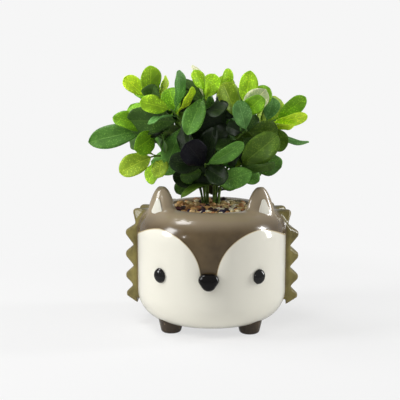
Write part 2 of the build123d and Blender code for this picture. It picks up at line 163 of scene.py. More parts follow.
def new_material(name: str) -> tuple[Material, NodeDesk, Node]:
    """Makes an empty node material.

    Args:
        name: the finish's name.

    Returns:
        The material, its desk and its principled shader.
    """
    material = bpy.data.materials.new(name)
    material.use_nodes = True
    material.node_tree.nodes.clear()
    desk = NodeDesk(material.node_tree)
    shader = desk.add("ShaderNodeBsdfPrincipled")
    desk.add("ShaderNodeOutputMaterial", {"Surface": shader.outputs[0]})
    return material, desk, shader


@dataclass(frozen=True)
class Glaze:
    """Stoneware glaze, poured and fired: glassy, with faint ripples that bend the reflections.

    Attributes:
        name: the finish's name.
        body: main colour.
        roughness: gloss of the fired surface.
        ripple_mm: size of the ripples.
        clear_coat: share of the glassy top layer.
        shine: strength of the reflections under it.
    """

    name: str
    body: str
    roughness: float = 0.2
    ripple_mm: float = 10.0
    clear_coat: float = 0.35
    shine: float = 0.5

    def colour(self, desk: NodeDesk) -> Any:
        """The shader's colour, or the output that gives it."""
        return linear(self.body)

    def gloss(self, desk: NodeDesk) -> dict[str, Any]:
        """The shader's inputs that set how strongly the two layers reflect."""
        return {"Specular IOR Level": self.shine, "Coat Weight": self.clear_coat}

    def material(self) -> Material:
        """The whole finish."""
        material, desk, shader = new_material(self.name)
        swell = desk.mottle(self.ripple_mm, 2.0)
        rough = desk.remap(swell, new=(self.roughness * 0.75, self.roughness * 1.3))
        desk.feed(shader, {
            "Base Color": self.colour(desk), "Roughness": rough, "Normal": desk.bump(swell, 0.16, 0.5),
            "IOR": 1.52, "Coat Roughness": 0.06, **self.gloss(desk)})
        return material


@dataclass(frozen=True, kw_only=True)
class MottledGlaze(Glaze):
    """Coloured glaze: cloudy, darker where it pooled and lighter where it breaks over an edge.

    Attributes:
        pooled: colour where the glaze lies thick.
        thin_and_lit_top: colour where it breaks over an edge, which the brown glaze below also uses for the
            painted light on its top.
    """

    pooled: str
    thin_and_lit_top: str

    def cloud(self, desk: NodeDesk, body: Any, pooled: Any) -> NodeSocket:
        """Clouds the colour, and wears it on the edges.

        Args:
            desk: the material's desk.
            body: main colour or the output that gives it.
            pooled: colour of the thick glaze or the output that gives it.

        Returns:
            The colour.
        """
        clouds = desk.mottle(self.ripple_mm * 1.6, 4.0, 0.55)
        tone = desk.blend(desk.remap(clouds, (0.32, 0.68)), pooled, body)
        edge = desk.add("ShaderNodeNewGeometry").outputs["Pointiness"]
        worn = desk.remap(edge, (0.515, 0.58), (0.0, 0.75))
        return desk.blend(worn, tone, linear(self.thin_and_lit_top))

    def colour(self, desk: NodeDesk) -> NodeSocket:
        """The shader's colour, clouded."""
        return self.cloud(desk, linear(self.body), linear(self.pooled))


@dataclass(frozen=True, kw_only=True)
class TwoGlazes(MottledGlaze):
    """Brown glaze, painted lighter to the top as painted light from above, that turns olive and duller where
    the mesh is marked as coat.

    Attributes:
        coat_body: main colour over the coat.
        coat_pooled: colour in the hollows of the coat.
        coat_clear: share of the glassy top layer over the coat.
        coat_shine: strength of the reflections under it.
        painted_light_mm: heights between which the brown is painted lighter, towards the thin colour: painted
            light from above on the lip, shoulder and ears.
        painted_light_share: how far the top is painted lighter.
    """

    coat_body: str = "8a7f48"
    coat_pooled: str = "5d5430"
    coat_clear: float = 0.06
    coat_shine: float = 0.22
    painted_light_mm: Span = (79.0, 91.0)
    painted_light_share: float = 0.95

    def colour(self, desk: NodeDesk) -> NodeSocket:
        """Brown, olive over the coat, and painted lighter to the top as light from above.

        Args:
            desk: the material's desk.

        Returns:
            What the shader gets.
        """
        coat = desk.mark(COAT)["Fac"]
        body = desk.blend(coat, linear(self.body), linear(self.coat_body))
        pooled = desk.blend(coat, linear(self.pooled), linear(self.coat_pooled))
        # Painted light: towards the top the brown turns to the lighter colour, for the light and reflections
        # from above on the lip, shoulder and ears.
        height = desk.add("ShaderNodeSeparateXYZ", {"Vector": desk.place()}).outputs["Z"]
        low, high = self.painted_light_mm
        run = desk.remap(height, (low * MM, high * MM), (0.0, self.painted_light_share), "SMOOTHSTEP")
        share = desk.compute("MULTIPLY", run, desk.compute("SUBTRACT", 1.0, coat))
        return desk.blend(share, self.cloud(desk, body, pooled), linear(self.thin_and_lit_top))

    def gloss(self, desk: NodeDesk) -> dict[str, Any]:
        """The shader's inputs that set how strongly the two layers reflect: less over the coat."""
        coat = desk.mark(COAT)["Fac"]
        return {"Specular IOR Level": desk.remap(coat, new=(self.shine, self.coat_shine)),
                "Coat Weight": desk.remap(coat, new=(self.clear_coat, self.coat_clear))}


@dataclass(frozen=True)
class WhiteGlaze(Glaze):
    """Opaque white glaze, even and glassy, with a tan line where it meets the brown along the cheek lobes.

    Attributes:
        circles_mm: sideways place, height and radius of the two circles that bound a lobe.
        line: colour of the meeting line.
        line_mm: how far inside a circle the line starts, and where it is full.
        over_mm: how far above the lobes it still shows.
    """

    circles_mm: tuple[Triple, ...] = ((39.2, 47.4, 33.6), (33.0, 51.0, 30.0))
    line: str = "c9b68c"
    line_mm: Span = (0.7, 0.2)
    over_mm: float = 2.0

    def colour(self, desk: NodeDesk) -> NodeSocket:
        """White with the meeting line.

        Args:
            desk: the material's desk.

        Returns:
            What the shader gets.
        """
        split = desk.add("ShaderNodeSeparateXYZ", {"Vector": desk.place()}).outputs
        spot = desk.add("ShaderNodeCombineXYZ", {
            "X": desk.compute("ABSOLUTE", split["X"]), "Z": split["Z"]}).outputs[0]
        start, full = self.line_mm
        edges = []
        for out, up, radius in self.circles_mm:
            middle = (out * MM, 0.0, up * MM)
            reach = desk.add("ShaderNodeVectorMath", {0: spot, 1: middle}, operation="DISTANCE").outputs
            edges.append(desk.remap(reach["Value"], ((radius - start) * MM, (radius - full) * MM)))
        low = min(up for _, up, _ in self.circles_mm)
        high = max(up + radius for _, up, radius in self.circles_mm) + self.over_mm
        above = desk.compute("GREATER_THAN", split["Z"], low * MM)
        below = desk.compute("LESS_THAN", split["Z"], high * MM)
        band = desk.compute("MULTIPLY", above, below)
        share = desk.compute("MULTIPLY", desk.compute("MAXIMUM", *edges), band)
        return desk.blend(share, linear(self.body), linear(self.line))


@dataclass(frozen=True)
class LeafPrint:
    """Printed polyester leaf: a dye that shades to the tip, flecked print, a pale rib and a starched sheen.

    Attributes:
        name: the finish's name.
        fleck_mm: size of the printed flecks.
        cloud_mm: size of the patches that hold flecks.
        veins: side veins along one leaf.
        lean: how far they lean to the tip.
        vein_share: how far the veins show.
        gain: brightness of a fleck to the dye, by channel.
        lift: light that a fleck has on any dye.
    """

    name: str = "printed_polyester_leaf"
    fleck_mm: float = 1.35
    cloud_mm: float = 9.0
    veins: float = 11.0
    lean: float = 0.55
    vein_share: float = 0.45
    gain: Triple = (2.5, 2.0, 2.4)
    lift: Triple = (0.014, 0.02, 0.004)

    def material(self) -> Material:
        """The whole finish."""
        material, desk, shader = new_material(self.name)
        tint = desk.mark(TINT)["Color"]
        uv = desk.add("ShaderNodeUVMap", uv_map="UVMap").outputs["UV"]
        split = desk.add("ShaderNodeSeparateXYZ", {"Vector": uv}).outputs
        # The rib runs down the middle, and the side veins lean away from it.
        across = desk.compute("ABSOLUTE", desk.compute("SUBTRACT", split["Y"], 0.5))
        run = desk.compute("SUBTRACT", split["X"], desk.compute("MULTIPLY", across, self.lean))
        saw = desk.compute("PINGPONG", desk.compute("MULTIPLY", run, self.veins), 1.0)
        rib = desk.remap(across, (0.006, 0.028), (1.0, 0.0))
        vein = desk.compute("MAXIMUM", rib, desk.remap(saw, (0.0, 0.2), (0.3, 0.0)))
        # The flecks come in patches, as on a worn print.
        cell = desk.add("ShaderNodeTexVoronoi", {
            "Vector": desk.place(), "Scale": 1 / (self.fleck_mm * MM), "Randomness": 1.0}, feature="F1")
        cloud = desk.mottle(self.cloud_mm, 3.0)
        fleck = desk.remap(cell.outputs["Distance"], (0.12, 0.42), (1.0, 0.0))
        flecks = desk.compute("MULTIPLY", fleck, desk.remap(cloud, (0.34, 0.58)))
        # The dye is paler to the tip and a little uneven.
        tip = desk.remap(split["X"], (0.1, 1.0), (0.8, 1.12))
        level = desk.compute("MULTIPLY", tip, desk.remap(cloud, (0.3, 0.7), (0.72, 1.15)))
        dyed = desk.add("ShaderNodeVectorMath", {0: tint, "Scale": level}, operation="SCALE").outputs[0]
        bright = desk.add("ShaderNodeVectorMath", {0: tint, 1: self.gain}, operation="MULTIPLY").outputs[0]
        light = desk.add("ShaderNodeVectorMath", {0: bright, 1: self.lift}, operation="ADD").outputs[0]
        printed = desk.blend(flecks, dyed, light)
        desk.feed(shader, {
            "Base Color": desk.blend(desk.compute("MULTIPLY", vein, self.vein_share), printed, light),
            "Normal": desk.bump(vein, 0.5, 0.25, invert=True), "Roughness": 0.45, "Specular IOR Level": 0.22})
        return material


@dataclass(frozen=True)
class TintedStone:
    """Crushed gravel: matt broken faces, a tint per stone with fine grit.

    Attributes:
        name: the finish's name.
        grit_mm: size of the grit.
    """

    name: str = "crushed_gravel"
    grit_mm: float = 0.7

    def material(self) -> Material:
        """The whole finish."""
        material, desk, shader = new_material(self.name)
        tint = desk.mark(TINT)["Color"]
        grit = desk.mottle(self.grit_mm, 5.0, 0.7)
        level = desk.remap(grit, (0.3, 0.7), (0.65, 1.25))
        colour = desk.add("ShaderNodeVectorMath", {0: tint, "Scale": level}, operation="SCALE").outputs[0]
        desk.feed(shader, {"Base Color": colour, "Normal": desk.bump(grit, 0.6, 0.3), "Roughness": 0.6})
        return material


@dataclass(frozen=True)
class Moulded:
    """A plain moulded or cut material: its fine grain keeps it from looking like smooth paint.

    Attributes:
        name: the finish's name.
        dark: colour of the hollows of the grain.
        light: main colour.
        grain_mm: size of the grain.
        roughness: gloss.
        relief: strength of the grain's bump.
    """

    name: str
    dark: str
    light: str
    grain_mm: float
    roughness: float
    relief: float

    def material(self) -> Material:
        """The whole finish."""
        material, desk, shader = new_material(self.name)
        grain = desk.mottle(self.grain_mm, 4.0)
        colour = desk.blend(desk.remap(grain, (0.35, 0.65)), linear(self.dark), linear(self.light))
        desk.feed(shader, {
            "Base Color": colour, "Normal": desk.bump(grain, self.relief, 0.3), "Roughness": self.roughness})
        return material


class LeafTone(Enum):
    """Dye of a leaf, by the letter that the sprigs use. The dyes hold the light and shade that fall on each
    leaf: the shade, dark, deep and black dyes are painted shade, and the pale, yellow and lime dyes are the
    leaves' own colour partly brightened as painted light.
    """

    PALE = ("P", "eef4c4")
    YELLOW = ("Y", "c8f032")
    LIME = ("L", "a9de2e")
    GREEN = ("G", "7ab323")
    OLIVE = ("O", "92b32f")
    SILVER = ("S", "62974c")
    MIDDLE = ("M", "568833")
    # Painted shade: these four dyes darken the leaves that lie in the shade.
    SHADE = ("E", "4f6e1f")
    DARK = ("D", "3c5c20")
    DEEP = ("K", "1a2b10")
    BLACK = ("B", "0a0815")

    @classmethod
    def of(cls, letter: str) -> "LeafTone":
        """The tone that a letter stands for."""
        return next(tone for tone in cls if tone.value[0] == letter)

    def colour(self, shift: float) -> Colour:
        """The dye as a linear colour, lighter or darker by a share."""
        red, green, blue, alpha = linear(self.value[1])
        return (red * shift, green * shift, blue * shift, alpha)


def place_in_scene(obj: Object) -> Object:
    """Puts a new object into the scene and gives it back."""
    bpy.context.scene.collection.objects.link(obj)
    return obj


def select(*items: Object) -> None:
    """Selects objects alone, the first one as the active one.

    Args:
        items: the objects.
    """
    for item in bpy.context.selected_objects:
        item.select_set(False)
    for item in items:
        item.select_set(True)
    if items:
        bpy.context.view_layer.objects.active = items[0]


def apply_modifier(obj: Object, kind: str, **settings: Any) -> None:
    """Adds a modifier and applies it.

    Args:
        obj: object that gets it.
        kind: modifier type.
        settings: its properties.
    """
    select(obj)
    modifier = obj.modifiers.new(kind.lower(), kind)
    for key, value in settings.items():
        setattr(modifier, key, value)
    bpy.ops.object.modifier_apply(modifier=modifier.name)


def join(name: str, items: list[Object]) -> Object:
    """Joins objects into the first one and names it.

    Args:
        name: name of the piece.
        items: objects to join.

    Returns:
        The joined object.
    """
    select(*items)
    if len(items) > 1:
        bpy.ops.object.join()
    whole = items[0]
    whole.name = whole.data.name = name
    return whole


def merged_copy(name: str, nodes: Iterable[str],
                fits: dict[str, Span] | None = None) -> Object:
    """Copies CAD nodes into one new object and merges their loose triangles.

    Args:
        name: name of the piece.
        nodes: CAD nodes to copy.
        fits: lift in millimetres and upright stretch of single nodes.

    Returns:
        The copy, at the origin.
    """
    copies = []
    for node in nodes:
        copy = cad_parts[node].copy()
        copy.data = copy.data.copy()
        copy.parent = None
        lift, stretch = (fits or {}).get(node, (0.0, 1.0))
        middle = (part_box(node)[0][2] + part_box(node)[1][2]) / 2
        down, up = (Matrix.Translation((0, 0, shift)) for shift in (-middle, middle + lift * MM))
        copy.data.transform(up @ Matrix.Diagonal((1, 1, stretch, 1)) @ down)
        for key in list(copy.keys()):
            del copy[key]
        copies.append(place_in_scene(copy))
    whole = join(name, copies)
    whole.data.materials.clear()
    select(whole)
    bpy.ops.object.mode_set(mode="EDIT")
    bpy.ops.mesh.select_all(action="SELECT")
    bpy.ops.mesh.remove_doubles(threshold=WELD)
    bpy.ops.object.mode_set(mode="OBJECT")
    if whole.data.has_custom_normals:
        bpy.ops.mesh.customdata_custom_splitnormals_clear()
    return whole


def melt(obj: Object, voxel_mm: float, passes: int) -> None:
    """Melts a piece into one skin and softens it."""
    apply_modifier(obj, "REMESH", mode="VOXEL", voxel_size=voxel_mm * MM, use_smooth_shade=True)
    apply_modifier(obj, "SMOOTH", factor=0.5, iterations=passes)


def paint(obj: Object, colour: Colour) -> None:
    """Gives a whole piece one tint."""
    layer = obj.data.color_attributes.new(TINT, "FLOAT_COLOR", "POINT")
    layer.data.foreach_set("color", list(colour) * len(obj.data.vertices))


def dress(obj: Object, material: Material, body: str,
          stands_for: Iterable[str] = ()) -> None:
    """Gives a piece its finish and body, and hides the CAD nodes that it stands for.

    Args:
        obj: the piece.
        material: its finish.
        body: body it rides on.
        stands_for: CAD nodes that it replaces.
    """
    obj.data.materials.clear()
    obj.data.materials.append(material)
    nodes = list(stands_for)
    if nodes:
        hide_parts(*nodes)
    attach(obj, body)
    LOG.info("%s: %d faces", obj.name, len(obj.data.polygons))


def islands(node: str) -> list[np.ndarray]:
    """Separate solids of a CAD node.

    Args:
        node: CAD node.

    Returns:
        Points of each solid, in the order of the node.
    """
    work = bmesh.new()
    work.from_mesh(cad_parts[node].data)
    work.verts.ensure_lookup_table()
    order = {vert: number for number, vert in enumerate(work.verts)}
    bmesh.ops.remove_doubles(work, verts=work.verts, dist=WELD)
    left = sorted(work.verts, key=lambda vert: order.get(vert, 0))
    seen: set[bmesh.types.BMVert] = set()
    groups: list[np.ndarray] = []
    for start in left:
        if start in seen:
            continue
        seen.add(start)
        queue = [start]
        group = []
        while queue:
            vert = queue.pop()
            group.append(vert.co[:])
            for edge in vert.link_edges:
                other = edge.other_vert(vert)
                if other not in seen:
                    seen.add(other)
                    queue.append(other)
        groups.append(np.array(group))
    work.free()
    return groups


@dataclass(frozen=True)
class PotForm:
    """Turned shape of the pot.

    Attributes:
        radius_mm: radius of the wall.
        foot_mm: height of the underside.
        belly_mm: radius of the low round, as turned.
        sagged_mm: radius of the low round once the soft clay has sagged.
        shoulder_mm: radius of the shoulder's round.
        shoulder_up_mm: height where the shoulder starts.
    """

    radius_mm: float = 55.0
    foot_mm: float = 7.0
    belly_mm: float = 25.0
    sagged_mm: float = 20.5
    shoulder_mm: float = 20.0
    shoulder_up_mm: float = 71.4

    def reach(self, height: float, bend: float) -> float:
        """Radius of the pot at a height, for one radius of its low round, in millimetres."""
        drop = min(max(self.foot_mm + bend - height, 0.0), bend)
        return self.radius_mm - bend + math.sqrt(bend ** 2 - drop ** 2)

    def sag(self, obj: Object) -> None:
        """Fills out the low round of a piece, as soft clay sags before it is fired.

        Args:
            obj: piece of the pot.
        """
        for vert in obj.data.vertices:
            reach = math.hypot(vert.co.x, vert.co.y) / MM
            height = vert.co.z / MM
            shift = self.reach(height, self.sagged_mm) - self.reach(height, self.belly_mm)
            share = min(max((reach - self.radius_mm + 1.3 * self.belly_mm) / (0.3 * self.belly_mm), 0.0), 1.0)
            if reach > 0:
                grow = 1 + shift * share / reach
                vert.co = (vert.co.x * grow, vert.co.y * grow, vert.co.z)

    def proud(self, points: np.ndarray) -> np.ndarray:
        """How far points stand out from the turned shape.

        Args:
            points: the points, in millimetres.

        Returns:
            The distances, in millimetres.
        """
        height = points[:, 2]
        belly_up = self.foot_mm + self.belly_mm
        low = height < belly_up
        over = np.where(low, belly_up - height, np.maximum(height - self.shoulder_up_mm, 0))
        bend = np.where(low, self.belly_mm, self.shoulder_mm)
        return np.hypot(np.hypot(points[:, 0], points[:, 1]) - self.radius_mm + bend, over) - bend


@dataclass
class GlazedPot:
    """Body, ears, coat and quills of the pot, fired into one piece.

    Attributes:
        form: turned shape of the pot.
        voxel_mm: mesh size of the fired surface.
        slip_mm: slip that closes the joints.
        soften: passes that round the joints.
        ear_mm: sideways, forward and upward place of an ear's root.
        root_mm: how far the slip round an ear's root is smoothed out, in plan and upwards.
        root_passes: passes that smooth it.
        coat_mm: how far the coat stands out where it starts, and where it is full.
        coat_front_mm: how far it reaches forward of the axis.
        coat_edge_mm: width of its front edge.
        coat_top_mm: height where it ends.
        clay: CAD nodes of the fired piece.
        quills: lift and stretch of the quill rows, which swell as the slip joins them.
        glaze: its finish.
    """

    form: PotForm = PotForm()
    voxel_mm: float = 1.1
    slip_mm: float = 0.12
    soften: int = 6
    ear_mm: Triple = (36.0, -16.0, 83.0)
    root_mm: Span = (25.0, 11.0)
    root_passes: int = 38
    coat_mm: Span = (0.4, 2.0)
    coat_front_mm: float = 4.0
    coat_edge_mm: float = 1.2
    coat_top_mm: float = 94.0
    clay: tuple[str, ...] = ("pot_body", "left_ear", "right_ear", "back_coat",
                             *(f"quill_row_{row}" for row in range(1, 6)))
    quills: dict[str, Span] = field(default_factory=lambda: {
        "quill_row_2": (-0.2, 1.12), "quill_row_3": (-1.9, 1.2), "quill_row_4": (-3.1, 1.14),
        "quill_row_5": (-3.0, 1.04)})
    glaze: Glaze = TwoGlazes("brown_stoneware_glaze", body="655336", pooled="524229", thin_and_lit_top="a09076")

    def build(self) -> Object:
        """Melts copies of the clay pieces into one skin with soft joints.

        Returns:
            The pot.
        """
        pot = merged_copy("glazed_pot", self.clay, self.quills)
        self.form.sag(pot)
        apply_modifier(pot, "DISPLACE", strength=self.slip_mm * MM, mid_level=0.0)
        melt(pot, self.voxel_mm, self.soften)
        self.mark_roots(pot)
        apply_modifier(pot, "SMOOTH", factor=0.5, iterations=self.root_passes, vertex_group="ear_roots")
        self.mark_coat(pot)
        return pot

    def mark_roots(self, pot: Object) -> None:
        """Stores how far each point belongs to the slip round the ears' roots.

        Args:
            pot: the pot.
        """
        out, fore, up = self.ear_mm
        wide, tall = self.root_mm
        group = pot.vertex_groups.new(name="ear_roots")
        for vert in pot.data.vertices:
            side, ahead, high = vert.co / MM
            plan = math.hypot(abs(side) - out, ahead - fore) / wide
            rise = abs(high - up) / tall
            if plan < 1 and rise < 1:
                share = (1 - plan ** 2) * (1 - rise ** 2)
                group.add([vert.index], min(1.0, 2 * share), "REPLACE")

    def mark_coat(self, pot: Object) -> None:
        """Stores how far each point belongs to the coat.

        Args:
            pot: the pot.
        """
        mesh = pot.data
        points = np.empty(len(mesh.vertices) * 3)
        mesh.vertices.foreach_get("co", points)
        points = points.reshape(-1, 3) / MM
        start, full = self.coat_mm
        coat = np.clip((self.form.proud(points) - start) / (full - start), 0, 1)
        coat *= np.clip((points[:, 1] + self.coat_front_mm + self.coat_edge_mm) / self.coat_edge_mm, 0, 1)
        coat *= points[:, 2] < self.coat_top_mm
        mesh.attributes.new(COAT, "FLOAT", "POINT").data.foreach_set("value", coat.astype(np.float32))

    def dress(self) -> None:
        """Builds and finishes the pot."""
        dress(self.build(), self.glaze.material(), "pot", self.clay)


@dataclass
class WhitePanels:
    """White glaze of the face and the inner ears.

    Attributes:
        form: turned shape of the pot.
        round_mm: rounding of the edges.
        nodes: CAD nodes of the panels.
        glaze: their finish.
    """

    form: PotForm = PotForm()
    round_mm: float = 0.25
    nodes: tuple[str, ...] = ("face_panel", "left_inner_ear", "right_inner_ear")
    glaze: Glaze = WhiteGlaze("white_stoneware_glaze", body="f0eddf", roughness=0.14, ripple_mm=16.0)

    def build(self, node: str) -> Object:
        """Copies a panel and rounds its edges.

        Args:
            node: CAD node of the panel.

        Returns:
            The panel.
        """
        panel = merged_copy(f"{node}_glaze", [node])
        self.form.sag(panel)
        apply_modifier(panel, "BEVEL", width=self.round_mm * MM, segments=2, limit_method="ANGLE",
                       angle_limit=math.radians(50))
        select(panel)
        bpy.ops.object.shade_smooth_by_angle(angle=math.radians(60))
        return panel

    def dress(self) -> None:
        """Builds and finishes the panels."""
        material = self.glaze.material()
        for node in self.nodes:
            dress(self.build(node), material, "pot", [node])


@dataclass
class SmallClay:
    """Feet, nose and eyes: small clay pieces with their own glaze.

    Attributes:
        voxel_mm: mesh size of the fired surface.
        soften: passes that round the feet and the eyes.
        soften_nose: passes that round the nose.
        dome_mm: how far the nose and the eyes swell outwards.
        nose_fit: width and height of the softened nose to what they were.
        black: finish of the nose.
        bead: finish of the eyes.
        brown: finish of the feet.
    """

    voxel_mm: float = 0.45
    soften: int = 8
    soften_nose: int = 24
    dome_mm: float = 1.5
    nose_fit: Span = (1.08, 0.98)
    black: Glaze = MottledGlaze("black_stoneware_glaze", body="0b0908", pooled="080606", thin_and_lit_top="120f0d",
                                roughness=0.1, clear_coat=0.0, shine=0.25)
    bead: Glaze = MottledGlaze("black_bead_glaze", body="0c0a09", pooled="080706", thin_and_lit_top="12100e",
                               roughness=0.06, clear_coat=0.0)
    brown: Glaze = MottledGlaze("dark_stoneware_glaze", body="4d4030", pooled="3b3025", thin_and_lit_top="7a6a50",
                                clear_coat=0.2, shine=0.4)

    def build(self, node: str, soften: int) -> Object:
        """Copies a piece and softens its edges.

        Args:
            node: CAD node.
            soften: passes that round its edges.

        Returns:
            The piece.
        """
        piece = merged_copy(f"{node}_clay", [node])
        melt(piece, self.voxel_mm, soften)
        return piece

    def swell(self, piece: Object, wide: float, tall: float) -> None:
        """Swells the outer side of a piece into a dome.

        Args:
            piece: nose or eye.
            wide: width to what it was.
            tall: height to what it was, from its top down.
        """
        points = [vert.co.copy() for vert in piece.data.vertices]
        middle = sum(points, Vector()) / len(points)
        outwards = Vector((middle.x, middle.y, 0.0)).normalized()
        sideways = Vector((0.0, 0.0, 1.0)).cross(outwards)
        top = max(point.z for point in points)
        depths = [(point - middle).dot(outwards) for point in points]
        spans = [((point - middle) - outwards * depth).length for point, depth in zip(points, depths)]
        back, front, span = min(depths), max(depths), max(spans)
        for vert, point, depth, reach in zip(piece.data.vertices, points, depths, spans):
            share = (depth - back) / (front - back) * (1 - (reach / span) ** 2)
            side = (point - middle).dot(sideways)
            vert.co = point + outwards * self.dome_mm * MM * share + sideways * side * (wide - 1)
            vert.co.z = top + (vert.co.z - top) * tall

    def dress(self) -> None:
        """Builds and finishes the pieces."""
        nose = self.build("nose", self.soften_nose)
        self.swell(nose, *self.nose_fit)
        dress(nose, self.black.material(), "pot", ["nose"])
        bead = self.bead.material()
        for node in ("left_eye", "right_eye"):
            eye = self.build(node, self.soften)
            self.swell(eye, 1.0, 1.0)
            dress(eye, bead, "pot", [node])
        brown = self.brown.material()
        for node in ("front_left_foot", "front_right_foot", "rear_left_foot", "rear_right_foot"):
            dress(self.build(node, self.soften), brown, "pot", [node])


@dataclass(frozen=True)
class LeafFrame:
    """Place of one leaf, read from its CAD solid.

    Attributes:
        base: end of the stalk.
        along: direction to the tip.
        across: direction over the blade.
        up: direction of the face.
        length: stalk end to tip.
        width: widest part of the blade.
        rise: height of the arch.
    """

    base: Vector
    along: Vector
    across: Vector
    up: Vector
    length: float
    width: float
    rise: float

    @classmethod
    def read(cls, points: np.ndarray) -> "LeafFrame":
        """Finds the frame of a leaf.

        Args:
            points: points of its solid.

        Returns:
            The frame.
        """
        middle = points.mean(axis=0)
        _, _, axes = np.linalg.svd(points - middle, full_matrices=False)
        local = (points - middle) @ axes.T
        low, high = local[:, 0].min(), local[:, 0].max()
        edge = END_SHARE * (high - low)
        near = local[local[:, 0] < low + edge]
        far = local[local[:, 0] > high - edge]
        # The stalk's end is the narrower one.
        along = axes[0] if np.ptp(near[:, 1]) <= np.ptp(far[:, 1]) else -axes[0]
        run = (points - middle) @ along
        start = points[run < run.min() + END_MM * MM].mean(axis=0)
        end = points[run > run.max() - END_MM * MM].mean(axis=0)
        along = (end - start) / np.linalg.norm(end - start)
        across = axes[1] - along * (axes[1] @ along)
        across /= np.linalg.norm(across)
        up = np.cross(along, across)
        height = (points - start) @ up
        span = (points - start) @ along
        inner = np.abs(span - span.max() / 2) < MIDDLE_SHARE * span.max()
        rise = height[inner].mean()
        if rise < 0:
            up, across, rise = -up, -across, -rise
        side = (points - start) @ across
        return cls(Vector(start), Vector(along), Vector(across), Vector(up), float(span.max()),
                   float(np.ptp(side)), float(rise))

    def matrix(self) -> Matrix:
        """The frame as a matrix from the leaf's own axes to the object's."""
        turn = Matrix((self.along, self.across, self.up)).transposed().to_4x4()
        return Matrix.Translation(self.base) @ turn


